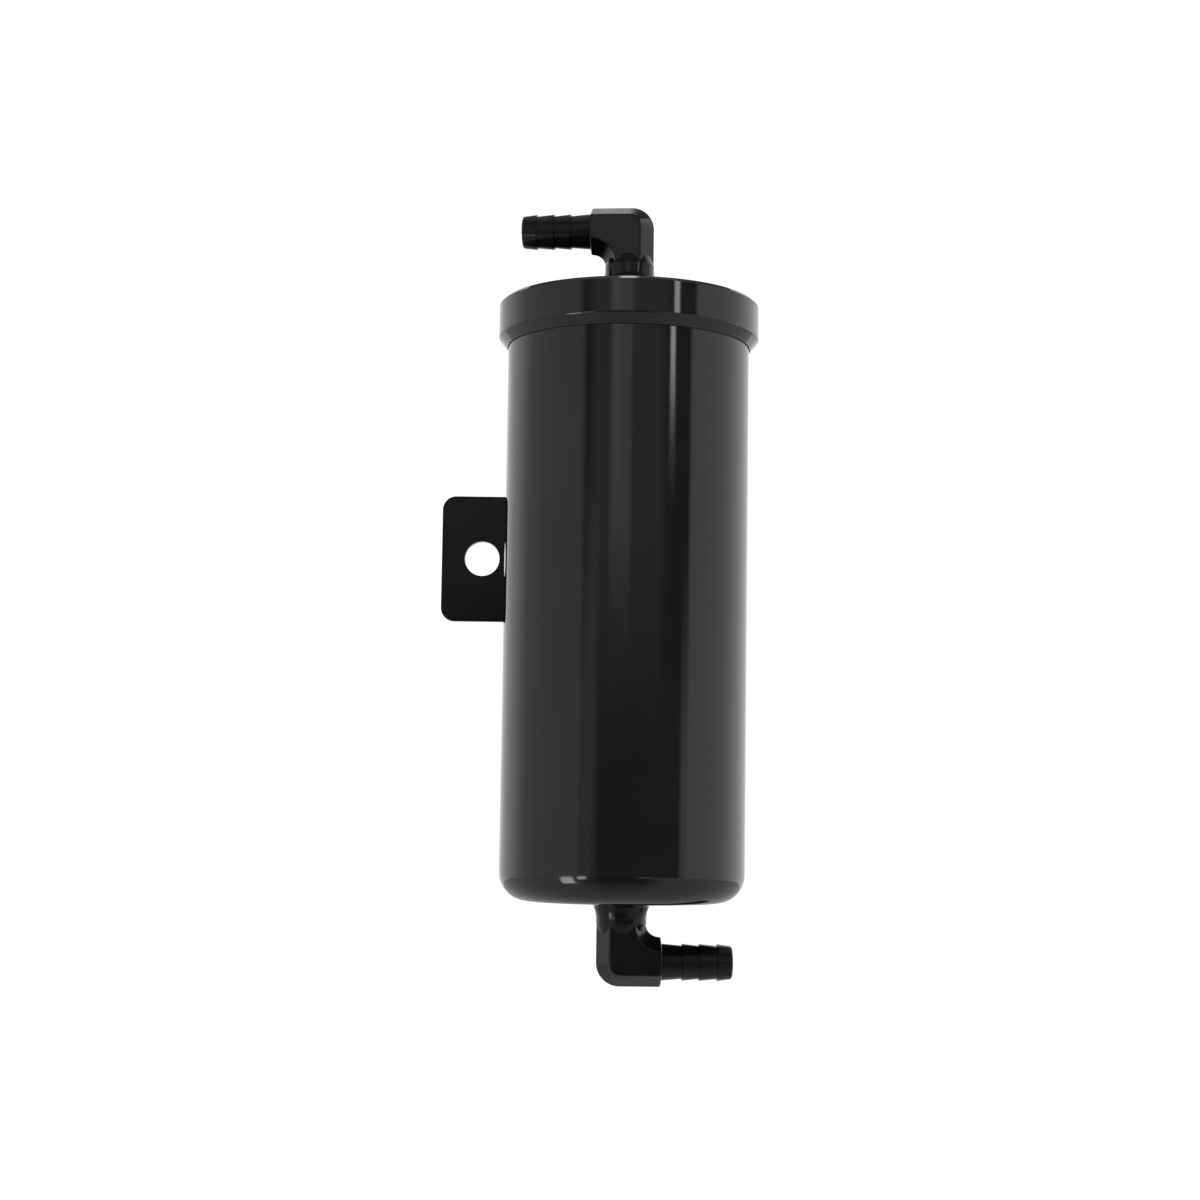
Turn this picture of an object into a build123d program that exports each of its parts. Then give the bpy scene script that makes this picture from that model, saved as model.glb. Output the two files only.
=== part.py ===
from build123d import *
import os
from math import asin, cos, radians, sin, sqrt

# Inline hydraulic reservoir: a drawn can with a screw-on lid, one hose elbow in the lid and one in
# the base, a spring-loaded filter cartridge inside and a flat bracket welded to its back.
# Millimetres.  Every piece is drawn about the can's axis, with z = 0 at the underside of the can's
# base, and is then moved so that the part's origin is the centre of the bracket's bolt hole, on the
# wall side of the plate.  +Z runs up the can, +Y points into the wall and +X runs from the bolt
# hole towards the can.

# Driving dimensions: can
can_radius = 38.1
can_wall = 3.0
can_corner = 8.8             # outer radius between side and base
can_height = 183.5           # underside of the base to the rim
neck_height = 9.4            # turned-down stretch below the rim that carries the thread
neck_step = 1.1              # how far the neck is turned below the can's side
rim_chamfer = 0.5

# Driving dimensions: lid
lid_overhang = 3.0           # lid's side beyond the can's
lid_plate = 4.0
lid_edge = 1.0               # chamfer round the lid's top
lid_edge_round = 0.25        # rounding of that chamfer's edges
skirt_length = 10.1          # lid's underside to the foot of the skirt
skirt_bevel = 3.0            # height of the slope at the foot of the skirt
skirt_round = 0.9            # rounding between the lid's side and that slope
skirt_lip = 0.25             # flat left at the foot of the slope
plug_length = 8.6
plug_wall = 4.0
plug_play = 0.2
lid_boss_wall = 3.0          # round the ring seat
lid_boss_height = 6.9
lid_stub_length = 5.2        # boss below the lid's plate, seat of the filter's grommet

# Driving dimensions: lid thread (right-handed)
thread_pitch = 3.0
thread_depth = 0.95
thread_crest = 0.8           # width of the male crest
thread_flank = 0.474         # axial run of one flank per millimetre of depth
thread_engage = 0.65         # radial overlap of the two threads
thread_gap = 0.35            # male crest to the root of the lid's thread
thread_slack = 0.3           # axial play, both flanks together
male_turns = 2.2
male_run_out = 0.3           # between the rim's chamfer and the last of the ridge
female_turns = 1.9
thread_bite = 0.15           # how deep a ridge is rooted in its wall

# Driving dimensions: lid seal
ring_section = 2.6
ring_squash = 0.15           # how far the ring is flattened against the bore
ring_play = 0.04             # between the flattened ring and the metal round it
groove_width = 3.2
groove_place = 5.2           # lid's underside to the middle of the groove

# Driving dimensions: hose elbow
hex_flats = 13.4
hex_edge = 0.7               # rounding of the hexagon's edges
elbow_corner = 7.4           # outer corner of the bend, at the middle of the section
elbow_inside = 4.0           # inner corner of the bend
hex_land = 4.65              # length of the barb leg's hexagon past the upright leg
leg_land = 3.87               # length of the upright leg's hexagon below the barb leg
neck_length = 5.9            # seating face to where the upright leg turns hexagonal
neck_cover = 0.05            # neck's radius beyond the hexagon's corners
neck_run_out = 3.2           # cone from the neck to inside the hexagon's flats
collar_cover = 0.55          # collar's radius beyond the ring seat
collar_land = 0.9
collar_flare = 3.6           # height of the hollow flare above the collar's land
elbow_bore = 3.5
barb_crest = 5.65
barb_valley = 5.1
barb_steps = (6.4, 5.3, 5.6, 4.6)    # lengths of the barb's cones, root first
barb_tip_break = 0.35
inlet_clock = 5.0            # degrees that the inlet barb swings from -X towards the wall
outlet_clock = 4.0           # degrees that the outlet barb swings from +X towards the wall

# Driving dimensions: port in the lid and in the base (straight thread with a ring at its mouth)
port_radius = 7.1
port_play = 0.05
port_seat_radius = 8.0
port_seat_depth = 2.1
shank_length = 10.2
shank_relief_radius = 6.2
shank_chamfer = 0.8
port_ring_gap = 0.02

# Driving dimensions: boss in the base
boss_wall = 1.5              # round the ring seat
boss_drop = 0.7              # how far it stands below the base
boss_flange_width = 4.5
boss_flange = 3.0
boss_height = 7.5            # above the inside of the base
boss_hub_wall = 2.5          # round the threaded bore
boss_weld_leg = 0.6

# Driving dimensions: bracket
plate_thickness = 3.0
plate_height = 41.8
plate_corner = 4.5
plate_edge = 0.8             # rounding of both rims
hole_radius = 5.75
hole_to_edge = 13.45         # hole centre to the plate's free edge
hole_to_can = 9.55           # hole centre to the can's side
hole_above_base = 110.8
plate_past_weld = 1.0        # the plate's hidden end, past the weld
weld_near = 6.5              # weld's stretch either side of the line of touch
weld_far = 14.0
weld_end_gap = 2.0

# Driving dimensions: return tube
tube_radius = 7.5
tube_wall = 1.0
tube_seat = 3.4              # length pressed into the lid's stub
tube_reach = 3.0             # length below the stub

# Driving dimensions: filter cartridge
sheet = 0.8                  # metal of the end caps, the core and the outer tube
cartridge_gap = 4.3          # between the cartridge and the inside of the lid's plug
cap_rim = 6.0
core_gap = 1.6               # between the grommet and the core
potting_depth = 2.6
pleat_count = 28
pleat_clearance = 0.2
pleat_stroke = 2.0           # radial thickness of the folded sheet
grommet_wall = 2.5           # between the return tube and the cap's hole
grommet_grip = 2.6           # how far the grommet's flanges reach over the cap
grommet_lip = 2.0
grommet_play = 0.05
clip_width = 1.2
clip_depth = 1.2
core_hole_radius = 2.6
core_hole_rows = 9
core_holes_round = 6
tube_hole_radius = 2.6
tube_hole_rows = 11
tube_holes_round = 10
hole_row_margin = 10.0
bypass_travel = 5.0

# Driving dimensions: spring and its seat
spring_radius = 15.5
spring_wire = 1.1            # radius of the wire
spring_length = 44.5         # as fitted
spring_coils = 6.5
spring_seat_height = 2.5     # locating ring of the bottom cap
spring_play = 0.6
baffle_height = 15.0         # underside of the plate above the inside of the base
baffle_sheet = 1.5
baffle_play = 0.6
baffle_leg_width = 9.0
baffle_leg_places = 3
baffle_hole_radius = 3.0
baffle_holes_round = 12
baffle_hole_inset = 12.5     # plate's edge to the circle of holes
baffle_slots_round = 6

# Worked-out heights and radii, can and lid
can_bore = can_radius - can_wall
neck_radius_can = can_radius - neck_step
male_crest = neck_radius_can + thread_depth
female_root = male_crest + thread_gap
female_crest = male_crest - thread_engage
male_low = can_height - rim_chamfer - male_run_out - thread_crest - male_turns * thread_pitch
lid_radius = can_radius + lid_overhang
lid_under = can_height
lid_top = lid_under + lid_plate
plug_radius = can_bore - plug_play
ring_outer = can_bore - ring_play
groove_radius = ring_outer + ring_squash - ring_section - ring_play
boss_top = lid_top + lid_boss_height
lid_boss_radius = port_seat_radius + lid_boss_wall
stub_foot = lid_under - lid_stub_length

# Worked-out heights and radii, base and elbow
floor = can_wall
boss_foot = -boss_drop
boss_radius = port_seat_radius + boss_wall
boss_hub_radius = port_radius + boss_hub_wall + port_play
boss_flange_radius = boss_radius + boss_flange_width
hex_half = hex_flats / sqrt(3)
hex_end = hex_half + hex_land
hex_foot = neck_length
collar_to_barb = neck_length + leg_land + hex_half
neck_radius = hex_half + neck_cover
collar_radius = port_seat_radius + collar_cover

# Worked-out heights and radii, cartridge, spring and bracket
baffle_top = floor + baffle_height + baffle_sheet
baffle_radius = can_bore - baffle_play
cap_hole_radius = tube_radius + grommet_wall
grommet_flange = cap_hole_radius + grommet_grip
core_radius = grommet_flange + core_gap + sheet
cap_radius = plug_radius - plug_wall - cartridge_gap
tube_outer = cap_radius - sheet
cartridge_top = stub_foot - grommet_lip
cartridge_foot = baffle_top + spring_length
pack_low = cartridge_foot + sheet + potting_depth
pack_high = cartridge_top - sheet - potting_depth
spring_locator = spring_radius - spring_wire - spring_play
hole_to_can_axis = can_radius + hole_to_can
hole_point = Vector(-hole_to_can_axis, can_radius + plate_thickness, hole_above_base)


def upright(radius, low, high):
    """A round bar about the can's axis, from one height to another."""
    bar = Cylinder(radius, high - low, align=(Align.CENTER, Align.CENTER, Align.MIN))
    return Pos(0, 0, low) * bar


def ring(outer, inner, low, high):
    """A round tube about the can's axis."""
    return upright(outer, low, high) - upright(inner, low - 1, high + 1)


def turned(points):
    """The solid turned about the can's axis from an outline of (radius, height) points."""
    outline = Polyline(*[(r, 0, z) for r, z in points], close=True)
    return revolve(make_face(outline), Axis.Z, 360)


def helical_ridge(inner, outer, width_inner, width_outer, low, turns):
    """A thread ridge: a trapezium carried up a right-handed helix."""
    path = Helix(thread_pitch, turns * thread_pitch, (inner + outer) / 2, center=(0, 0, low))
    corners = [
        (inner, 0, low - width_inner / 2),
        (outer, 0, low - width_outer / 2),
        (outer, 0, low + width_outer / 2),
        (inner, 0, low + width_inner / 2),
    ]
    return sweep(make_face(Polyline(*corners, close=True)), path, is_frenet=True)


def can_shell():
    outer = upright(can_radius, 0, can_height)
    outer = fillet(outer.edges().sort_by(Axis.Z)[0], can_corner)
    shoulder = can_height - neck_height
    outer -= ring(can_radius + 1, neck_radius_can, shoulder, can_height + 1)
    outer = chamfer(outer.edges().filter_by(GeomType.CIRCLE).sort_by(Axis.Z)[-1], rim_chamfer)
    hollow = upright(can_bore, floor, can_height + 1)
    hollow = fillet(hollow.edges().sort_by(Axis.Z)[0], can_corner - can_wall)
    shell = outer - hollow - upright(boss_radius, -1, floor + 1)
    width_root = thread_crest + 2 * thread_flank * (thread_depth + thread_bite)
    ridge = helical_ridge(
        neck_radius_can - thread_bite, male_crest, width_root, thread_crest, male_low, male_turns
    )
    return shell + ridge


def lid():
    skirt_foot = lid_under - skirt_length
    top_edges = [(lid_radius - lid_edge, 0, lid_top), (lid_radius, 0, lid_top - lid_edge)]
    skirt_edge = (lid_radius, 0, skirt_foot + skirt_bevel)
    outline = make_face(Polyline(
        (0, 0, lid_under), (0, 0, lid_top), *top_edges, skirt_edge,
        (female_root + skirt_lip, 0, skirt_foot), (female_root, 0, skirt_foot), (female_root, 0, lid_under),
        close=True,
    ))
    outline = fillet(outline.vertices().sort_by_distance(skirt_edge)[0], skirt_round)
    corners = [outline.vertices().sort_by_distance(place)[0] for place in top_edges]
    body = revolve(fillet(corners, lid_edge_round), Axis.Z, 360)
    plug = ring(plug_radius, plug_radius - plug_wall, lid_under - plug_length, lid_under)
    groove_mid = lid_under - groove_place
    plug -= ring(plug_radius + 1, groove_radius, groove_mid - groove_width / 2, groove_mid + groove_width / 2)
    boss = upright(lid_boss_radius, stub_foot, boss_top)
    boss = chamfer(boss.edges().filter_by(GeomType.CIRCLE).sort_by(Axis.Z)[-1], 0.8)
    body = body + plug + boss
    body -= port_hole(boss_top, -1, boss_top - shank_length - 0.6)
    body -= upright(tube_radius - tube_wall, stub_foot - 1, boss_top)
    body -= upright(tube_radius, stub_foot - 1, stub_foot + tube_seat)
    width_crest = thread_pitch - male_width(female_crest) - thread_slack
    width_root = width_crest + 2 * thread_flank * (female_root + thread_bite - female_crest)
    ridge = helical_ridge(
        female_crest, female_root + thread_bite, width_crest, width_root,
        male_low + thread_pitch / 2, female_turns,
    )
    return body + ridge


def male_width(radius):
    """Width of the male ridge at a radius."""
    return thread_crest + 2 * thread_flank * (male_crest - radius)


def port_hole(mouth, way, end):
    """The cutter of a port: its ring seat and its threaded bore.  way is -1 down, +1 up."""
    seat = sorted((mouth - way, mouth + way * port_seat_depth))
    bore = sorted((mouth, end))
    return upright(port_seat_radius, *seat) + upright(port_radius, *bore)


def lid_o_ring():
    mid = lid_under - groove_place
    section_radius = ring_section / 2
    centre = ring_outer + ring_squash - section_radius
    ring_solid = Pos(0, 0, mid) * Torus(centre, section_radius)
    return ring_solid & upright(ring_outer, mid - ring_section, mid + ring_section)


def port_ring(mouth, way):
    """A port's sealing ring, between the shank's relief and the seat."""
    section_radius = (port_seat_radius - shank_relief_radius) / 2 - port_ring_gap
    centre = (port_seat_radius + shank_relief_radius) / 2
    return Pos(0, 0, mouth + way * port_seat_depth / 2) * Torus(centre, section_radius)


def barb_profile():
    """Outline of the barb as (distance from the leg's axis, radius) points, tip last."""
    points = [(hex_end - 1, barb_crest)]
    x = hex_end
    for length in barb_steps[:-1]:
        points += [(x, barb_crest), (x + length, barb_valley)]
        x += length
    tip = x + barb_steps[-1]
    points += [(x, barb_crest), (tip - barb_tip_break, barb_valley), (tip, barb_valley - barb_tip_break)]
    return points, tip


def elbow_block():
    """The bend: a hexagonal bar with flats front and back, rounded at both corners and all edges."""
    half = hex_half
    spare = hex_flats
    axis_z = collar_to_barb
    low = hex_foot - hex_edge
    corners = [
        (-half, low - spare), (half, low - spare), (half, axis_z - half),
        (hex_end + spare, axis_z - half), (hex_end + spare, axis_z + half), (-half, axis_z + half),
    ]
    outline = make_face(Polyline(*[(x, 0, z) for x, z in corners], close=True))
    outer_corner = outline.vertices().sort_by_distance((-half, 0, axis_z + half))[0]
    outline = fillet(outer_corner, elbow_corner)
    inner_corner = outline.vertices().sort_by_distance((half, 0, axis_z - half))[0]
    outline = fillet(inner_corner, elbow_inside)
    bar = extrude(outline, hex_flats / 2, both=True, taper=30)
    keep = Pos(-half, 0, low) * Box(
        hex_end + half, hex_flats, axis_z + half - low, align=(Align.MIN, Align.CENTER, Align.MIN)
    )
    bar = bar & keep
    foot_edges = bar.faces().sort_by(Axis.Z)[0].edges()
    return fillet(bar.edges() - foot_edges, hex_edge)


def elbow_neck():
    """Round neck: a land, a hollow flare that ends tangent to the neck, and a cone into the hexagon."""
    flare_top = collar_land + collar_flare
    drop = collar_radius - neck_radius
    sweep_radius = (drop ** 2 + collar_flare ** 2) / (2 * drop)
    half_angle = asin(collar_flare / sweep_radius) / 2
    middle = (
        neck_radius + sweep_radius * (1 - cos(half_angle)), 0, flare_top - sweep_radius * sin(half_angle)
    )
    land = Polyline((0, 0, 0), (collar_radius, 0, 0), (collar_radius, 0, collar_land))
    flare = ThreePointArc((collar_radius, 0, collar_land), middle, (neck_radius, 0, flare_top))
    cone_top = hex_foot + neck_run_out
    rest = Polyline(
        (neck_radius, 0, flare_top), (neck_radius, 0, hex_foot), (hex_flats / 2 - neck_cover, 0, cone_top),
        (0, 0, cone_top), (0, 0, 0),
    )
    return revolve(make_face(land + flare + rest), Axis.Z, 360)


def elbow():
    """Elbow about the Z axis, seating face at z = 0, shank below it, barb along +X."""
    axis_z = collar_to_barb
    points, tip = barb_profile()
    outline = [(hex_end - 1, 0)] + points + [(tip, 0)]
    barb_face = make_face(Polyline(*[(x, 0, axis_z + r) for x, r in outline], close=True))
    barb = revolve(barb_face, Axis((0, 0, axis_z), (1, 0, 0)), 360)
    shank = upright(port_radius - port_play, -shank_length, 0)
    shank -= ring(port_radius + 1, shank_relief_radius, -port_seat_depth - 0.3, 0)
    shank = chamfer(shank.edges().filter_by(GeomType.CIRCLE).sort_by(Axis.Z)[0], shank_chamfer)
    barb_way = Cylinder(elbow_bore, tip + 1, align=(Align.CENTER, Align.CENTER, Align.MIN))
    barb_way = Pos(0, 0, axis_z) * Rot(0, 90, 0) * barb_way
    way = upright(elbow_bore, -shank_length - 1, axis_z) + barb_way + Pos(0, 0, axis_z) * Sphere(elbow_bore)
    return elbow_block() + elbow_neck() + barb + shank - way


def inlet_elbow():
    return Pos(0, 0, boss_top) * Rot(0, 0, 180 - inlet_clock) * elbow()


def outlet_elbow():
    return Pos(0, 0, boss_foot) * Rot(0, 0, outlet_clock) * Rot(180, 0, 0) * elbow()


def outlet_boss():
    body = upright(boss_radius, boss_foot, floor) + upright(boss_flange_radius, floor, floor + boss_flange)
    body += upright(boss_hub_radius, floor, floor + boss_height)
    return body - port_hole(boss_foot, 1, floor + boss_height + 1)


def outlet_boss_weld():
    leg = boss_weld_leg
    return turned([(boss_radius, 0), (boss_radius + leg * 2, 0), (boss_radius, -leg)])


def mounting_bracket():
    left = -hole_to_can_axis - hole_to_edge
    length = weld_far + plate_past_weld - left
    middle = Vector(left + length / 2, can_radius + plate_thickness / 2, hole_above_base)
    plate = Box(length, plate_thickness, plate_height)
    plate = fillet(plate.edges().filter_by(Axis.Y), plate_corner)
    rims = plate.faces().filter_by(Axis.Y).edges()
    plate = fillet(rims, plate_edge)
    hole = Rot(90, 0, 0) * Cylinder(hole_radius, plate_thickness + 2)
    return Pos(*middle) * plate - Pos(-hole_to_can_axis, middle.Y, hole_above_base) * hole


def bracket_welds():
    """Two beads in the notches either side of the line where the plate touches the can."""
    height = plate_height - 2 * weld_end_gap - 2 * plate_corner
    can = upright(can_radius, 0, can_height)
    depth = can_radius - sqrt(can_radius ** 2 - weld_far ** 2)
    beads = []
    for side in (-1, 1):
        bead = Box(weld_far - weld_near, depth, height, align=(Align.CENTER, Align.MAX, Align.CENTER))
        place = Pos(side * (weld_far + weld_near) / 2, can_radius, hole_above_base)
        beads.append((place * bead - can).solid())
    return Compound(beads)


def return_tube():
    return ring(tube_radius, tube_radius - tube_wall, stub_foot - tube_reach, stub_foot + tube_seat)


def filter_top_cap():
    top = cartridge_top
    cap = upright(cap_radius, top - cap_rim, top)
    cap = fillet(cap.edges().sort_by(Axis.Z)[-1], sheet * 1.5)
    cap -= upright(cap_radius - sheet, top - cap_rim - 1, top - sheet)
    return cap - upright(cap_hole_radius, top - 2, top + 1)


def filter_bottom_cap():
    foot = cartridge_foot
    cap = upright(cap_radius, foot, foot + cap_rim)
    cap = fillet(cap.edges().sort_by(Axis.Z)[0], sheet * 1.5)
    cap -= upright(cap_radius - sheet, foot + sheet, foot + cap_rim + 1)
    return cap + ring(spring_locator, spring_locator - sheet, foot - spring_seat_height, foot + sheet / 2)


def perforated(outer, rows, round_count, hole_radius):
    """A sheet tube between the end caps with staggered rows of round holes."""
    low = cartridge_foot + sheet
    high = cartridge_top - sheet
    wall = ring(outer, outer - sheet, low, high)
    span = high - low - 2 * hole_row_margin
    cutters = []
    for row in range(rows):
        z = low + hole_row_margin + span * row / (rows - 1)
        for place in range(round_count):
            angle = 360 / round_count * (place + row % 2 / 2)
            bar = Cylinder(hole_radius, sheet * 4)
            cutters.append(Rot(0, 0, angle) * Pos(outer - sheet / 2, 0, z) * Rot(0, 90, 0) * bar)
    return wall - cutters


def filter_core():
    return perforated(core_radius, core_hole_rows, core_holes_round, core_hole_radius)


def filter_outer_tube():
    return perforated(tube_outer, tube_hole_rows, tube_holes_round, tube_hole_radius)


def media_reach():
    """Inner and outer radius of the pleated pack."""
    return core_radius + pleat_clearance, tube_outer - sheet - pleat_clearance


def filter_media():
    inner, outer = media_reach()
    outside = []
    inside = []
    for fold in range(2 * pleat_count):
        angle = radians(180 / pleat_count * fold)
        crest = outer if fold % 2 == 0 else inner + pleat_stroke
        outside.append((crest * cos(angle), crest * sin(angle)))
        trough = crest - pleat_stroke
        inside.append((trough * cos(angle), trough * sin(angle)))
    sheet_face = make_face(Polyline(*outside, close=True)) - make_face(Polyline(*inside, close=True))
    return Pos(0, 0, pack_low) * extrude(sheet_face, pack_high - pack_low)


def filter_potting():
    """The two rings of adhesive that hold the pleats in the end caps."""
    outer = media_reach()[1]
    lower = ring(outer, core_radius, cartridge_foot + sheet, pack_low)
    upper = ring(outer, core_radius, pack_high, cartridge_top - sheet)
    return Compound([lower.solid(), upper.solid()])


def filter_grommet():
    """Rubber ring that grips the edge of the top cap and seals on the return tube."""
    top = cartridge_top
    inner = tube_radius + grommet_play
    return turned([
        (inner, top + grommet_lip), (grommet_flange, top + grommet_lip), (grommet_flange, top),
        (cap_hole_radius, top), (cap_hole_radius, top - sheet), (grommet_flange, top - sheet),
        (grommet_flange - 1, top - sheet - grommet_lip), (inner, top - sheet - grommet_lip),
    ])


def filter_spring():
    low = baffle_top
    high = cartridge_foot
    path = Helix(spring_length / spring_coils, spring_length, spring_radius, center=(0, 0, low))
    section = Plane(origin=path @ 0, z_dir=path % 0) * Circle(spring_wire)
    coil = sweep(section, path, is_frenet=True)
    return coil & upright(spring_radius + 2 * spring_wire, low, high)


def baffle_plate():
    """Perforated plate on three legs that calms the oil over the outlet and seats the spring."""
    low = floor + baffle_height
    plate = upright(baffle_radius, low, baffle_top)
    seat_top = baffle_top + spring_seat_height
    plate += ring(spring_locator, spring_locator - baffle_sheet, baffle_top, seat_top)
    leg_radius = can_bore - (can_corner - can_wall) - baffle_play
    leg = Pos(leg_radius - baffle_sheet / 2, 0, floor) * Box(
        baffle_sheet, baffle_leg_width, baffle_height, align=(Align.CENTER, Align.CENTER, Align.MIN)
    )
    for place in range(baffle_leg_places):
        plate += Rot(0, 0, 90 + 360 / baffle_leg_places * place) * leg
    cutters = []
    hole = upright(baffle_hole_radius, low - 1, baffle_top + 1)
    for place in range(baffle_holes_round):
        angle = 360 / baffle_holes_round * (place + 0.5)
        cutters.append(Rot(0, 0, angle) * Pos(baffle_radius - baffle_hole_inset, 0, 0) * hole)
    for place in range(baffle_slots_round):
        angle = 360 / baffle_slots_round * place
        cutters.append(Rot(0, 0, angle) * Pos(spring_locator / 2, 0, 0) * hole)
    return plate - cutters


def media_seam_clip():
    """Folded strip that closes the pleated sheet into a ring, standing in the gap behind one pleat."""
    outer = media_reach()[1]
    clip = Pos(outer - clip_depth, 0, pack_low) * Box(
        clip_depth, clip_width, pack_high - pack_low, align=(Align.CENTER, Align.CENTER, Align.MIN)
    )
    return Rot(0, 0, 180 / pleat_count) * clip


PIECES = {
    "can_shell": can_shell,
    "outlet_boss": outlet_boss,
    "outlet_boss_weld": outlet_boss_weld,
    "mounting_bracket": mounting_bracket,
    "bracket_welds": bracket_welds,
    "outlet_elbow": outlet_elbow,
    "outlet_port_ring": lambda: port_ring(boss_foot, 1),
    "baffle_plate": baffle_plate,
    "filter_spring": filter_spring,
    "filter_bottom_cap": filter_bottom_cap,
    "filter_top_cap": filter_top_cap,
    "filter_core": filter_core,
    "filter_outer_tube": filter_outer_tube,
    "filter_media": filter_media,
    "filter_potting": filter_potting,
    "media_seam_clip": media_seam_clip,
    "filter_grommet": filter_grommet,
    "lid_o_ring": lid_o_ring,
    "lid": lid,
    "return_tube": return_tube,
    "inlet_elbow": inlet_elbow,
    "inlet_port_ring": lambda: port_ring(boss_top, -1),
}


def main():
    os.makedirs("parts", exist_ok=True)
    for name, make in PIECES.items():
        piece = make().moved(Location(-hole_point))
        export_step(piece, f"parts/{name}.step")


if __name__ == "__main__":
    main()
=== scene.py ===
from math import cos, pi, radians, sin, sqrt

import bmesh
import bpy
from mathutils import Matrix, Vector


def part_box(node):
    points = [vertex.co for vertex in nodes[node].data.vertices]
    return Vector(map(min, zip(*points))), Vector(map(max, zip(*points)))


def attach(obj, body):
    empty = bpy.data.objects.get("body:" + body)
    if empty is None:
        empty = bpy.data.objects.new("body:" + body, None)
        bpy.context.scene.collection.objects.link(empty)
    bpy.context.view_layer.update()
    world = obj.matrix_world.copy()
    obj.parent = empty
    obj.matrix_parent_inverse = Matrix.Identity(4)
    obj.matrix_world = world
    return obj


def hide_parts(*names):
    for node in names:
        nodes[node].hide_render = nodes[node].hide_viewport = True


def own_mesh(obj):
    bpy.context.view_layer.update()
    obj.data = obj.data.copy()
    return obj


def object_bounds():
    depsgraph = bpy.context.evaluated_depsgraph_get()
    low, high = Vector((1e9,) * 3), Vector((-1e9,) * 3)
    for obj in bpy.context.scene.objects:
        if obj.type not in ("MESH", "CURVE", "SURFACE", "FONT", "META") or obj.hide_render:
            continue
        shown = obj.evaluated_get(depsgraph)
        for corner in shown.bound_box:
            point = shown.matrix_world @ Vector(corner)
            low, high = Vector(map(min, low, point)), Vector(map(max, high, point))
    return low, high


# Inline hydraulic reservoir: black glossy can, screw-on lid, two hose elbows, wall bracket, and a
# filter cartridge on a spring inside.  Metres, in the CAD frame: +Z up the can, +Y into the wall.

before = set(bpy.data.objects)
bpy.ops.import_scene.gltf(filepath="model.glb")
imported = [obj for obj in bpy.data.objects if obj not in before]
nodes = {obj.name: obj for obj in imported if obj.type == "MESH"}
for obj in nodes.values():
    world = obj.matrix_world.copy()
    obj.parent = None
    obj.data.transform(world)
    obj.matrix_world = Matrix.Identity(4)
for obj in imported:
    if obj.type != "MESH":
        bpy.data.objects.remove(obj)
cad_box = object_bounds()

MM = 0.001                   # one millimetre in metres
can_low, can_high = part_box("can_shell")
axis = Vector(((can_low.x + can_high.x) / 2, (can_low.y + can_high.y) / 2, can_low.z))
can_radius = (can_high.x - can_low.x) / 2

# ---------------------------------------------------------------- camera
CAMERA_DISTANCE = 0.68703    # from the can's axis
CAMERA_HEIGHT = 0.02475      # above the can's base
CAMERA_PITCH = 0.10005       # upwards, radians
CAMERA_YAW = -0.01155        # towards -X
CAMERA_ROLL = 0.01430        # makes the can lean to the right
CAMERA_LENS = 66.09          # mm on a 36 mm sensor


def make_camera():
    forward = Vector((sin(CAMERA_YAW) * cos(CAMERA_PITCH), cos(CAMERA_YAW) * cos(CAMERA_PITCH),
                      sin(CAMERA_PITCH)))
    right = Vector((cos(CAMERA_YAW), -sin(CAMERA_YAW), 0))
    up = right.cross(forward)
    turned_right = right * cos(CAMERA_ROLL) + up * sin(CAMERA_ROLL)
    turned_up = -right * sin(CAMERA_ROLL) + up * cos(CAMERA_ROLL)
    data = bpy.data.cameras.new("camera")
    data.lens = CAMERA_LENS
    data.sensor_width = 36
    data.clip_start = 0.01
    data.clip_end = 100
    camera = bpy.data.objects.new("camera", data)
    bpy.context.scene.collection.objects.link(camera)
    turn = Matrix((turned_right, turned_up, -forward)).transposed().to_4x4()
    place = axis + Vector((0, -CAMERA_DISTANCE, CAMERA_HEIGHT))
    camera.matrix_world = Matrix.Translation(place) @ turn
    bpy.context.scene.camera = camera


# ---------------------------------------------------------------- studio
WORLD_STRENGTH = 1.1
FLOOR_DROP = 0.45            # floor below the part's lowest point
FLOOR_HALF = 12.0            # half of its side
FLOOR_GREYS = (0.93, 0.96)
LIGHT_AIM = 0.1              # height above the can's base that lamps and light point at
OVERHEAD_PLACE = (0.0, -0.4, 1.8)   # of the area light, from that aim
OVERHEAD_SIZE = (1.2, 0.8)
OVERHEAD_POWER = 20
CYCLORAMA_RADIUS = 2.6
CYCLORAMA_LOW = -0.46        # about the can's base
CYCLORAMA_HIGH = 2.4
CYCLORAMA_REACH = 150        # degrees either side of the camera's direction
CYCLORAMA_ROWS = 64
CYCLORAMA_CROWDING = 1.6     # power that crowds its rows towards the bottom
CYCLORAMA_FILL = 0.15        # light where no card is
NEUTRAL = (1, 1, 1)
COOL = (0.80, 0.90, 1.0)
PALE_COOL = (0.93, 0.97, 1.0)
WARM = (1.0, 0.985, 0.93)
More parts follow.
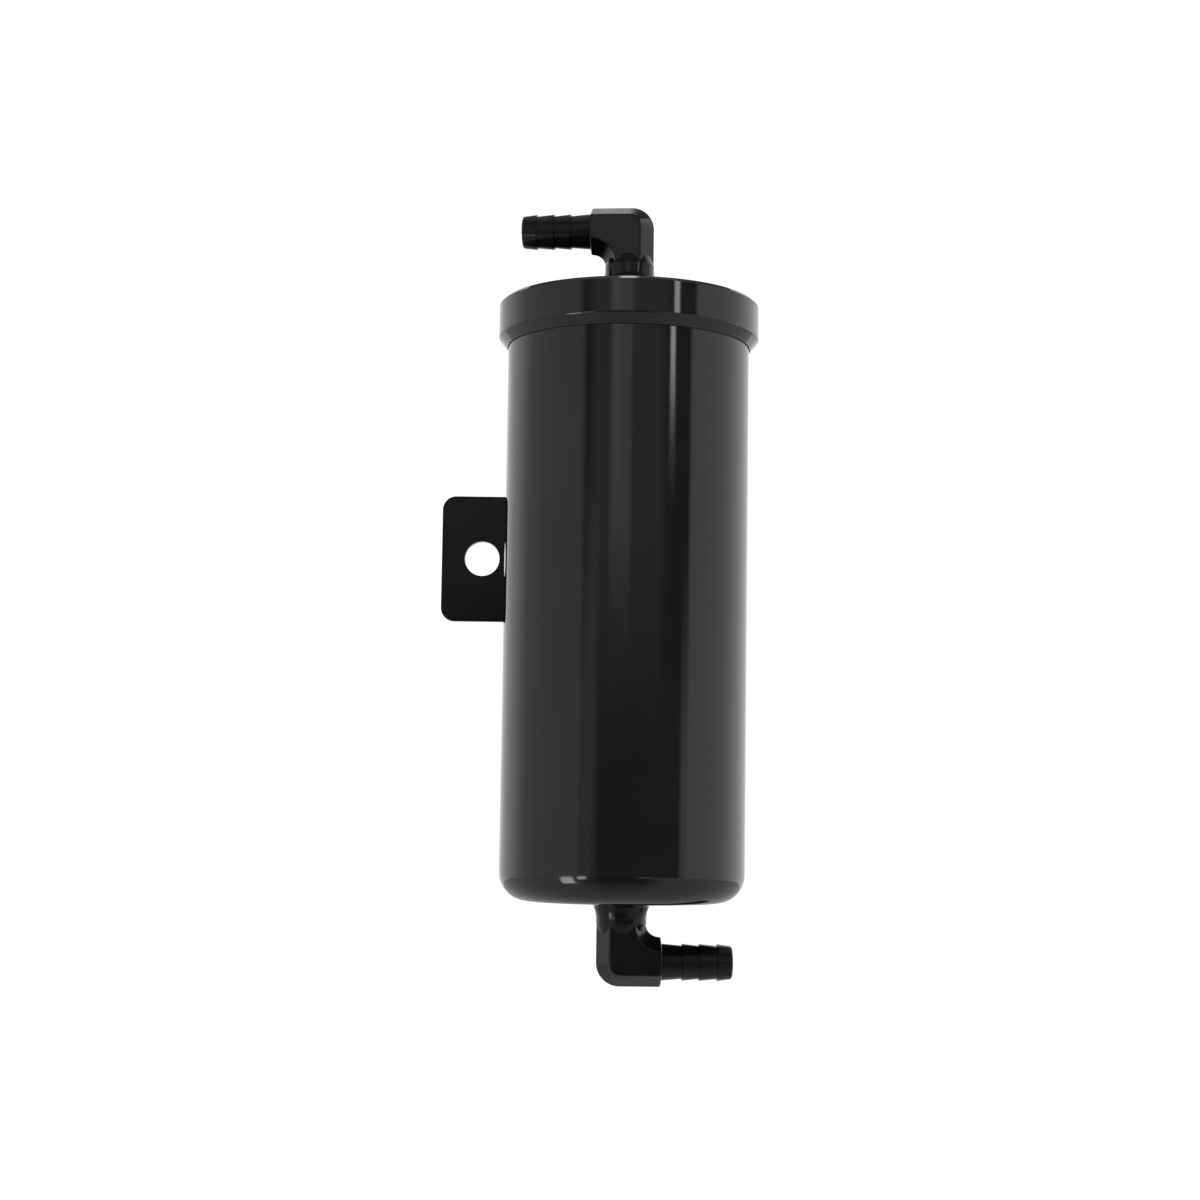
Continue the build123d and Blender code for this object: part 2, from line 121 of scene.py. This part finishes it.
# Cards that light the cyclorama: from and to in degrees from the camera's side (positive to the
# right) and the soft edge's width, the same for height in metres, the light added, its colour
CARDS = [
    (-170, -41, 6, -1.0, 3.0, 0.1, 0.55, WARM),         # white wall on the left
    (-170, -112, 20, -1.0, 3.0, 0.1, 0.35, NEUTRAL),    # its far end, nearer the window
    (-41, -26, 8, -1.0, 0.42, 0.30, 0.36, WARM),        # its foot, further round
    (-32, 34, 10, 0.30, 3.0, 0.30, 0.24, WARM),         # pale front wall above a dark bench
    (-15.5, 3.5, 4, 0.38, 3.0, 0.22, 0.44, COOL),       # window in it
    (-14, -7, 4, 0.55, 3.0, 0.25, 0.20, COOL),          # brighter side of the window
    (39.8, 44.2, 1.4, 0.66, 3.0, 0.12, 4.2, NEUTRAL),   # strip lamp
    (38.8, 45.2, 2.0, 0.56, 3.0, 0.12, 0.70, NEUTRAL),  # glow round it
    (61, 170, 4, -1.0, 3.0, 0.1, 0.82, WARM),           # white wall on the right
    (54, 61, 4, -1.0, 0.26, 0.30, 0.60, WARM),          # its foot, further round
    (112, 170, 20, -1.0, 3.0, 0.1, 0.25, PALE_COOL),    # its far end
]
# Lamps, seen in reflections: degrees round and up, distance, width, height, strength, colour
LAMPS = [
    (178, 43, 2.0, 0.8, 0.30, 1.5, NEUTRAL),        # over the wall behind
    (181, 77, 2.0, 0.20, 0.20, 4.5, PALE_COOL),     # overhead
    (-51, -27.0, 0.6, 0.13, 0.19, 6.0, COOL),       # low window
    (-36, -20.0, 0.6, 0.09, 0.06, 5.0, COOL),       # its top light
    (22, -14.5, 1.2, 0.30, 0.03, 1.2, PALE_COOL),   # gleam along the bench
]
LAMP_SPREAD = 1.3            # whole lamp with its soft edge, as a share of the size above
LAMP_CORE = 0.45             # share of the whole lamp that gives full light
LAMP_STEPS = 12
CEILING_RADIUS = 2.9
CEILING_NEAR = 0.45          # light overhead
CEILING_FAR = 0.12
CEILING_SHARE = 0.45         # share of its radius where one gives way to the other
BENCH_HEIGHT = -0.45         # about the can's base
BENCH_RADIUS = 2.58
BENCH_FRONT = 0.10           # light at its edge towards the camera, which is dark
BENCH_SIDE = 0.62            # light at its edge elsewhere
BENCH_MIDDLE = 0.55
BENCH_FRONT_REACH = 32       # degrees either side where its dark front ends
BENCH_FRONT_FADE = 24
BENCH_SHARE = 0.2            # share of its radius where the middle gives way to the edge
DISC_FADE = 0.3              # width of that change, on the bench and on the ceiling
DISC_RINGS = 8
DISC_STEPS = 96


def mesh_object(name, verts, faces, material, smooth=False):
    mesh = bpy.data.meshes.new(name)
    mesh.from_pydata(verts, [], faces)
    mesh.update()
    if smooth:
        mesh.polygons.foreach_set("use_smooth", [True] * len(mesh.polygons))
    obj = bpy.data.objects.new(name, mesh)
    bpy.context.scene.collection.objects.link(obj)
    mesh.materials.append(material)
    return obj


def reflected_only(obj):
    """Studio gear that shows in gloss and nowhere else."""
    obj.visible_camera = False
    obj.visible_shadow = False
    obj.visible_diffuse = False


def glow_material(name, added):
    """Light read from the surface's points; where it is added, what lies behind shows through."""
    material = bpy.data.materials.new(name)
    material.use_nodes = True
    tree = material.node_tree
    tree.nodes.clear()
    output = tree.nodes.new("ShaderNodeOutputMaterial")
    read = tree.nodes.new("ShaderNodeAttribute")
    read.attribute_name = "glow"
    shine = tree.nodes.new("ShaderNodeEmission")
    tree.links.new(read.outputs["Color"], shine.inputs["Color"])
    light = shine.outputs[0]
    if added:
        clear = tree.nodes.new("ShaderNodeBsdfTransparent")
        both = tree.nodes.new("ShaderNodeAddShader")
        tree.links.new(clear.outputs[0], both.inputs[0])
        tree.links.new(light, both.inputs[1])
        light = both.outputs[0]
    tree.links.new(light, output.inputs["Surface"])
    return material


def glowing(name, verts, faces, glow, added=False):
    """A studio surface whose light is given point by point."""
    surface = mesh_object(name, verts, faces, glow_material(name, added))
    colours = [part for light in glow for part in (*light, 1.0)]
    surface.data.attributes.new("glow", "FLOAT_COLOR", "POINT").data.foreach_set("color", colours)
    reflected_only(surface)


def grid_faces(columns, rows):
    """Faces of a grid whose points run up one column after the other."""
    faces = []
    for i in range(columns):
        for j in range(rows):
            a = i * (rows + 1) + j
            faces.append((a, a + rows + 1, a + rows + 2, a + 1))
    return faces


def soft_step(value, start, width):
    """0 before the start and 1 after it, with a straight ramp of the given width centred on it."""
    return min(1.0, max(0.0, (value - start) / width + 0.5))


def card_light(angle, height):
    """Light of the cyclorama at an angle in degrees and a height above the can's base."""
    light = Vector((CYCLORAMA_FILL,) * 3)
    for left, right, soft_angle, low, high, soft_height, strength, colour in CARDS:
        across = soft_step(angle, left, soft_angle) * (1 - soft_step(angle, right, soft_angle))
        upward = soft_step(height, low, soft_height) * (1 - soft_step(height, high, soft_height))
        light += Vector(colour) * (strength * across * upward)
    return light


def make_cyclorama():
    """Curved wall of soft light that the gloss mirrors."""
    columns = 4 * CYCLORAMA_REACH
    verts, glow = [], []
    for i in range(columns + 1):
        angle = CYCLORAMA_REACH * (2 * i / columns - 1)
        x, y = CYCLORAMA_RADIUS * sin(radians(angle)), -CYCLORAMA_RADIUS * cos(radians(angle))
        for j in range(CYCLORAMA_ROWS + 1):
            share = (j / CYCLORAMA_ROWS) ** CYCLORAMA_CROWDING
            height = CYCLORAMA_LOW + (CYCLORAMA_HIGH - CYCLORAMA_LOW) * share
            verts.append((axis.x + x, axis.y + y, axis.z + height))
            glow.append(card_light(angle, height))
    glowing("cyclorama", verts, grid_faces(columns, CYCLORAMA_ROWS), glow)


def make_disc(name, height, radius, light):
    """A level disc; light gives its strength from an angle in degrees and a share of the radius."""
    z = axis.z + height
    verts, glow = [(axis.x, axis.y, z)], [light(0, 0)]
    for k in range(1, DISC_RINGS + 1):
        for i in range(DISC_STEPS):
            angle = 360 * i / DISC_STEPS - 180
            r = radius * k / DISC_RINGS
            verts.append((axis.x + r * sin(radians(angle)), axis.y - r * cos(radians(angle)), z))
            glow.append(light(angle, k / DISC_RINGS))
    faces = [(0, 1 + i, 1 + (i + 1) % DISC_STEPS) for i in range(DISC_STEPS)]
    for k in range(DISC_RINGS - 1):
        a = 1 + k * DISC_STEPS
        b = a + DISC_STEPS
        for i in range(DISC_STEPS):
            j = (i + 1) % DISC_STEPS
            faces.append((a + i, b + i, b + j, a + j))
    glowing(name, verts, faces, glow)


def bench_light(angle, share):
    aside = soft_step(abs(angle), BENCH_FRONT_REACH, BENCH_FRONT_FADE)
    edge = BENCH_FRONT + (BENCH_SIDE - BENCH_FRONT) * aside
    strength = BENCH_MIDDLE + (edge - BENCH_MIDDLE) * soft_step(share, BENCH_SHARE, DISC_FADE)
    return (strength,) * 3


def ceiling_light(angle, share):
    strength = CEILING_NEAR + (CEILING_FAR - CEILING_NEAR) * soft_step(share, CEILING_SHARE, DISC_FADE)
    return (strength,) * 3


def soft_edge(share):
    """Full light over a lamp's middle part, fading smoothly to none at its edge."""
    t = min(max((1 - share) / (1 - LAMP_CORE), 0), 1)
    return t * t * (3 - 2 * t)


def make_lamps():
    """Soft lamps that face the part, each added to the light behind it."""
    middle = axis + Vector((0, 0, LIGHT_AIM))
    for number, (around, upward, distance, width, height, strength, colour) in enumerate(LAMPS):
        a, b = radians(around), radians(upward)
        out = Vector((sin(a) * cos(b), -cos(a) * cos(b), sin(b)))
        side = Vector((0, 0, 1)).cross(out).normalized()
        top = out.cross(side)
        centre = middle + out * distance
        side *= width * LAMP_SPREAD / 2
        top *= height * LAMP_SPREAD / 2
        verts, glow = [], []
        for i in range(LAMP_STEPS + 1):
            for j in range(LAMP_STEPS + 1):
                x, z = 2 * i / LAMP_STEPS - 1, 2 * j / LAMP_STEPS - 1
                verts.append(centre + side * x + top * z)
                shine = strength * soft_edge(abs(x)) * soft_edge(abs(z))
                glow.append([shine * part for part in colour])
        glowing(f"lamp_{number}", verts, grid_faces(LAMP_STEPS, LAMP_STEPS), glow, added=True)


def make_floor():
    floor_z = cad_box[0][2] - FLOOR_DROP
    material = bpy.data.materials.new("floor_paper")
    material.use_nodes = True
    tree = material.node_tree
    shader = tree.nodes["Principled BSDF"]
    shader.inputs["Roughness"].default_value = 0.9
    noise = tree.nodes.new("ShaderNodeTexNoise")
    noise.inputs["Scale"].default_value = 3.0
    ramp = tree.nodes.new("ShaderNodeValToRGB")
    for element, grey_value in zip(ramp.color_ramp.elements, FLOOR_GREYS):
        element.color = (grey_value, grey_value, grey_value, 1)
    tree.links.new(noise.outputs["Fac"], ramp.inputs["Fac"])
    tree.links.new(ramp.outputs["Color"], shader.inputs["Base Color"])
    half = FLOOR_HALF
    verts = [(-half, -half, floor_z), (half, -half, floor_z), (half, half, floor_z), (-half, half, floor_z)]
    floor = mesh_object("floor", verts, [(0, 1, 2, 3)], material)


def area_light(name, place, target, size, power):
    """Soft light that leaves no mark in the gloss."""
    data = bpy.data.lights.new(name, "AREA")
    data.shape = "RECTANGLE"
    data.size, data.size_y = size
    data.energy = power
    light = bpy.data.objects.new(name, data)
    light.location = place
    light.rotation_euler = (target - place).to_track_quat("-Z", "Y").to_euler()
    light.visible_camera = False
    light.visible_glossy = False
    bpy.context.scene.collection.objects.link(light)


def make_studio():
    world = bpy.data.worlds.new("studio")
    bpy.context.scene.world = world
    world.use_nodes = True
    background = world.node_tree.nodes["Background"]
    background.inputs["Color"].default_value = (1, 1, 1, 1)
    background.inputs["Strength"].default_value = WORLD_STRENGTH
    make_floor()
    make_cyclorama()
    make_disc("bench", BENCH_HEIGHT, BENCH_RADIUS, bench_light)
    make_disc("ceiling", CYCLORAMA_HIGH, CEILING_RADIUS, ceiling_light)
    make_lamps()
    middle = axis + Vector((0, 0, LIGHT_AIM))
    area_light("overhead", middle + Vector(OVERHEAD_PLACE), middle, OVERHEAD_SIZE, OVERHEAD_POWER)
    bpy.context.scene.view_settings.view_transform = "Standard"


# ---------------------------------------------------------------- materials
def grey(value, tint=(1.0, 1.0, 1.0)):
    return (value * tint[0], value * tint[1], value * tint[2], 1)


class Finish:
    """A Principled shader whose colour, roughness and bump come from procedural patterns.

    Scales are in cycles per metre, and bump depths in metres.
    """

    def __init__(self, name, **sockets):
        self.material = bpy.data.materials.new(name)
        self.material.use_nodes = True
        self.tree = self.material.node_tree
        self.shader = self.tree.nodes["Principled BSDF"]
        for socket, value in sockets.items():
            self.shader.inputs[socket.replace("_", " ")].default_value = value
        self.coord = self.tree.nodes.new("ShaderNodeTexCoord")
        self.height = None

    def link(self, output, target):
        self.tree.links.new(output, target)

    def place(self, stretch=(1, 1, 1)):
        """Object coordinates, stretched."""
        mapping = self.tree.nodes.new("ShaderNodeMapping")
        mapping.inputs["Scale"].default_value = stretch
        self.link(self.coord.outputs["Object"], mapping.inputs["Vector"])
        return mapping.outputs["Vector"]

    def noise(self, scale, detail=3.0, rough=0.5, stretch=(1, 1, 1), distortion=0.0):
        node = self.tree.nodes.new("ShaderNodeTexNoise")
        node.inputs["Scale"].default_value = scale
        node.inputs["Detail"].default_value = detail
        node.inputs["Roughness"].default_value = rough
        node.inputs["Distortion"].default_value = distortion
        self.link(self.place(stretch), node.inputs["Vector"])
        return node.outputs["Fac"]

    def cells(self, scale, stretch=(1, 1, 1)):
        node = self.tree.nodes.new("ShaderNodeTexVoronoi")
        node.inputs["Scale"].default_value = scale
        self.link(self.place(stretch), node.inputs["Vector"])
        return node.outputs["Color"]

    def ranged(self, factor, low, high, start=0.3, stop=0.7):
        """The pattern's values from start to stop, spread from low to high."""
        node = self.tree.nodes.new("ShaderNodeMapRange")
        node.inputs["From Min"].default_value = start
        node.inputs["From Max"].default_value = stop
        node.inputs["To Min"].default_value = low
        node.inputs["To Max"].default_value = high
        self.link(factor, node.inputs["Value"])
        return node.outputs["Result"]

    def colour(self, factor, stops):
        """Base colour from (place on the ramp, colour) stops."""
        ramp = self.tree.nodes.new("ShaderNodeValToRGB")
        elements = ramp.color_ramp.elements
        while len(elements) < len(stops):
            elements.new(0.5)
        for element, (place, value) in zip(elements, stops):
            element.position = place
            element.color = value
        self.link(factor, ramp.inputs["Fac"])
        self.link(ramp.outputs["Color"], self.shader.inputs["Base Color"])

    def rough(self, factor, low, high):
        self.link(self.ranged(factor, low, high), self.shader.inputs["Roughness"])

    def bump(self, factor, depth):
        """One more bump on top of those before it."""
        node = self.tree.nodes.new("ShaderNodeBump")
        node.inputs["Strength"].default_value = 1.0
        node.inputs["Distance"].default_value = depth
        self.link(factor, node.inputs["Height"])
        if self.height is not None:
            self.link(self.height, node.inputs["Normal"])
        self.height = node.outputs["Normal"]
        self.link(self.height, self.shader.inputs["Normal"])


def enamel(name, base, rough_low, rough_high, peel, ior=1.5, tint=(1, 1, 1.04)):
    """Black gloss paint: slow colour drift, faint orange peel, fine dust nibs."""
    finish = Finish(name, IOR=ior)
    drift = finish.noise(26, 4)
    finish.colour(drift, [(0.35, grey(base * 0.7, tint)), (0.65, grey(base * 1.35, tint))])
    finish.rough(finish.noise(70, 5, 0.6), rough_low, rough_high)
    finish.bump(finish.noise(420, 2), peel)
    finish.bump(finish.ranged(finish.noise(1900, 1), 0, 1, 0.74, 0.82), peel * 1.5)
    return finish.material


def moulded(name):
    """Black satin of the hose fittings: fine mould grain and slight rub marks."""
    finish = Finish(name, IOR=1.34)
    finish.colour(finish.noise(60, 4), [(0.35, grey(0.0022)), (0.65, grey(0.0048))])
    finish.rough(finish.noise(130, 5, 0.65), 0.10, 0.20)
    finish.bump(finish.noise(900, 3), 0.000012)
    finish.bump(finish.noise(160, 3, 0.6, (1, 1, 0.3)), 0.00003)
    return finish.material


def turned_aluminium(name):
    """Machined aluminium: rings of tool marks about the can's axis and soft stains."""
    finish = Finish(name, Metallic=1.0)
    marks = finish.noise(260, 3, 0.6, (0.25, 0.25, 14))
    finish.colour(finish.noise(40, 4), [(0.3, (0.62, 0.63, 0.64, 1)), (0.7, (0.80, 0.81, 0.82, 1))])
    finish.rough(marks, 0.24, 0.42)
    finish.bump(marks, 0.00002)
    return finish.material


def zinc_plate(name):
    """Zinc-plated sheet: faint spangle, a yellowish cast in places and drawing lines."""
    finish = Finish(name, Metallic=1.0)
    finish.colour(finish.cells(160), [
        (0.2, (0.50, 0.50, 0.47, 1)), (0.55, (0.60, 0.60, 0.58, 1)), (0.9, (0.66, 0.65, 0.60, 1)),
    ])
    finish.rough(finish.noise(110, 5, 0.6), 0.26, 0.44)
    finish.bump(finish.noise(500, 3, 0.5, (1, 1, 0.1)), 0.00001)
    return finish.material


def spring_wire(name):
    """Oil-tempered wire: dark grey, drawn lines, small lighter scuffs."""
    finish = Finish(name, Metallic=1.0)
    finish.colour(finish.noise(300, 4, 0.6), [
        (0.35, (0.10, 0.10, 0.11, 1)), (0.6, (0.17, 0.17, 0.18, 1)), (0.75, (0.30, 0.30, 0.31, 1)),
    ])
    finish.rough(finish.noise(420, 4), 0.28, 0.46)
    finish.bump(finish.noise(1400, 2), 0.000008)
    return finish.material


def rubber(name):
    """Nitrile: matt black with a bloom and a fine flash grain."""
    finish = Finish(name, IOR=1.5)
    finish.colour(finish.noise(220, 4), [(0.3, grey(0.010)), (0.7, grey(0.024, (1, 1, 1.03)))])
    finish.rough(finish.noise(340, 4), 0.48, 0.68)
    finish.bump(finish.noise(1500, 3), 0.000012)
    return finish.material


def paper(name):
    """Resin-treated filter paper: cream, with fibres and darker resin blots."""
    finish = Finish(name, IOR=1.45)
    finish.colour(finish.noise(520, 6, 0.65, (1, 1, 0.45), 0.4), [
        (0.25, (0.52, 0.40, 0.22, 1)), (0.5, (0.68, 0.56, 0.35, 1)), (0.75, (0.78, 0.68, 0.48, 1)),
    ])
    finish.rough(finish.noise(300, 4), 0.78, 0.94)
    finish.bump(finish.noise(1600, 4, 0.6), 0.00004)
    return finish.material


def plastisol(name):
    """Grey-green potting compound: poured, a little uneven and semi-gloss."""
    finish = Finish(name, IOR=1.5)
    finish.colour(finish.noise(120, 4), [(0.3, (0.12, 0.145, 0.13, 1)), (0.7, (0.19, 0.22, 0.20, 1))])
    finish.rough(finish.noise(200, 4), 0.32, 0.52)
    finish.bump(finish.noise(170, 2), 0.00015)
    return finish.material


MATERIALS = {
    "can_finish": enamel("can_enamel", 0.0028, 0.03, 0.07, 0.000004),
    "lid_finish": enamel("lid_enamel", 0.0028, 0.03, 0.07, 0.000004),
    "bracket_finish": enamel("bracket_enamel", 0.0030, 0.05, 0.10, 0.000006, ior=1.24),
    "weld_finish": enamel("weld_enamel", 0.0055, 0.12, 0.24, 0.000015),
    "fitting_finish": moulded("fitting_satin"),
    "bare_aluminium": turned_aluminium("turned_aluminium"),
    "plated_steel": zinc_plate("zinc_plate"),
    "spring_steel": spring_wire("spring_wire"),
    "nitrile": rubber("nitrile_rubber"),
    "filter_paper": paper("filter_paper"),
    "adhesive": plastisol("potting_plastisol"),
}
NODE_FINISH = {
    "can_shell": "can_finish",
    "outlet_boss": "bare_aluminium",
    "outlet_boss_weld": "weld_finish",
    "mounting_bracket": "bracket_finish",
    "bracket_welds": "weld_finish",
    "outlet_elbow": "fitting_finish",
    "outlet_port_ring": "nitrile",
    "baffle_plate": "plated_steel",
    "filter_spring": "spring_steel",
    "filter_bottom_cap": "plated_steel",
    "filter_top_cap": "plated_steel",
    "filter_core": "plated_steel",
    "filter_outer_tube": "plated_steel",
    "filter_media": "filter_paper",
    "filter_potting": "adhesive",
    "media_seam_clip": "plated_steel",
    "filter_grommet": "nitrile",
    "lid_o_ring": "nitrile",
    "lid": "lid_finish",
    "return_tube": "bare_aluminium",
    "inlet_elbow": "fitting_finish",
    "inlet_port_ring": "nitrile",
}


def dress(node, material):
    mesh = nodes[node].data
    mesh.materials.clear()
    mesh.materials.append(material)


# ---------------------------------------------------------------- detailed pieces
def closed_loft(name, rings, closed_path, material):
    """A skin over rings of points, joined end to end or capped."""
    count = len(rings[0])
    verts = [point for ring in rings for point in ring]
    spans = len(rings) if closed_path else len(rings) - 1
    faces = []
    for i in range(spans):
        a, b = i * count, (i + 1) % len(rings) * count
        for j in range(count):
            k = (j + 1) % count
            faces.append((a + j, a + k, b + k, b + j))
    if not closed_path:
        faces.append(tuple(range(count))[::-1])
        last = (len(rings) - 1) * count
        faces.append(tuple(range(last, last + count)))
    piece = mesh_object(name, verts, faces, material, smooth=True)
    mesh = bmesh.new()
    mesh.from_mesh(piece.data)
    bmesh.ops.recalc_face_normals(mesh, faces=mesh.faces)
    mesh.to_mesh(piece.data)
    mesh.free()
    return piece


def ripple(distance, pitch):
    """Height of a weld's ripples, 0 to 1: round backs with sharper troughs."""
    return abs(cos(pi * distance / pitch)) ** 0.6


WELD_PITCH = 1.7 * MM
WELD_SWELL = 0.45 * MM       # how far the bead bulges past the notch
WELD_RIPPLE = 0.18 * MM
WELD_INSET = 5.0 * MM        # how deep the bead's root lies in the notch
WELD_SINK = 0.15 * MM        # how far the bead reaches into the can's wall
WELD_END = 1.6 * MM          # length of its rounded ends
WELD_END_DRAW = 1.0 * MM     # how far they draw in towards the root
BOSS_WELD_RIPPLE = 0.08 * MM


def bracket_weld(side):
    """One bead between the plate and the can, with ripples and rounded ends."""
    low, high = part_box("bracket_welds")
    plate_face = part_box("mounting_bracket")[0].y
    reach = (high.x - low.x) / 2
    length = high.z - low.z
    stations, across = 150, 12
    rings = []
    for i in range(stations + 1):
        t = i / stations
        run = t * length
        end = min(1.0, sqrt(max(0.0, min(run, length - run) / WELD_END)))
        grow = (ripple(run, WELD_PITCH) * WELD_RIPPLE + WELD_SWELL) * end
        far = reach - WELD_END_DRAW * (1 - end)
        can_y = axis.y + sqrt(can_radius ** 2 - far ** 2)
        toe_plate = Vector((far, plate_face))
        toe_can = Vector((far, can_y - WELD_SINK))
        ring = []
        for j in range(across + 1):
            u = j / across
            point = toe_plate.lerp(toe_can, u)
            point.x += grow * sin(pi * u)
            ring.append(point)
        root_x = far - WELD_INSET
        root_y = axis.y + sqrt(can_radius ** 2 - root_x ** 2) - WELD_SINK
        ring.append(Vector((root_x, root_y)))
        ring.append(Vector((root_x, plate_face)))
        rings.append([(axis.x + side * p.x, p.y, low.z + run) for p in ring])
    name = "bracket_weld_left" if side < 0 else "bracket_weld_right"
    return closed_loft(name, rings, False, MATERIALS["weld_finish"])


def boss_weld():
    """Rippled ring where the outlet boss meets the can's base."""
    low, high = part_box("outlet_boss_weld")
    outer = (high.x - low.x) / 2
    leg = high.z - low.z
    inner = outer - 2 * leg
    girth = 2 * pi * outer
    pitch = girth / round(girth / WELD_PITCH)
    stations, across = 240, 8
    rings = []
    for i in range(stations):
        a = 2 * pi * i / stations
        trough = BOSS_WELD_RIPPLE * (1 - ripple(a * outer, pitch))
        ring = []
        for j in range(across + 1):
            b = pi / 2 * j / across
            r = inner + (2 * leg - trough) * cos(b)
            z = high.z - (leg - trough) * sin(b)
            ring.append((r, z))
        ring.append((inner, high.z))
        rings.append([(axis.x + r * cos(a), axis.y + r * sin(a), z) for r, z in ring])
    return closed_loft("boss_weld_bead", rings, True, MATERIALS["weld_finish"])


SPRING_WIRE = 1.1 * MM       # the wire's radius
SPRING_TURNS = 7.0
SPRING_CLOSED = 1.0          # turns at each end that lie wire on wire
SPRING_GROUND = 0.25 * SPRING_WIRE  # end turn's centre above its ground face
SPRING_EASE = 0.055          # how gently the open turns leave the closed ones


def cartridge_spring():
    """Compression spring with closed, ground ends, between the baffle plate and the cartridge."""
    low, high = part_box("filter_spring")
    radius = (high.x - low.x) / 2 - SPRING_WIRE
    closed_rise = 2 * SPRING_WIRE * SPRING_CLOSED
    start = low.z + SPRING_GROUND
    stop = high.z - SPRING_GROUND
    open_rise = stop - start - 2 * closed_rise
    open_turns = SPRING_TURNS - 2 * SPRING_CLOSED
    per_turn, around = 72, 16

    def rise(turn):
        """Height of the wire's centre after so many turns."""
        if turn < SPRING_CLOSED:
            return start + 2 * SPRING_WIRE * turn
        if turn > SPRING_TURNS - SPRING_CLOSED:
            return stop - 2 * SPRING_WIRE * (SPRING_TURNS - turn)
        share = (turn - SPRING_CLOSED) / open_turns
        eased = share - SPRING_EASE * sin(2 * pi * share)
        return start + closed_rise + open_rise * eased

    rings = []
    for i in range(int(SPRING_TURNS * per_turn) + 1):
        turn = i / per_turn
        a = 2 * pi * turn
        out = Vector((cos(a), sin(a), 0))
        ring = []
        for j in range(around):
            b = 2 * pi * j / around
            z = min(max(rise(turn) + SPRING_WIRE * sin(b), low.z), high.z)
            point = out * (radius + SPRING_WIRE * cos(b))
            ring.append((axis.x + point.x, axis.y + point.y, z))
        rings.append(ring)
    spring = closed_loft("cartridge_spring", rings, False, MATERIALS["spring_steel"])
    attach(spring, "can")
    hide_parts("filter_spring")
    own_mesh(spring)


def make_welds():
    beads = [bracket_weld(-1), bracket_weld(1)]
    for bead in beads:
        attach(bead, "can")
        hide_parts("bracket_welds")
    bead = boss_weld()
    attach(bead, "can")
    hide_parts("outlet_boss_weld")


make_camera()
make_studio()
for node in nodes:
    dress(node, MATERIALS[NODE_FINISH[node]])
make_welds()
cartridge_spring()
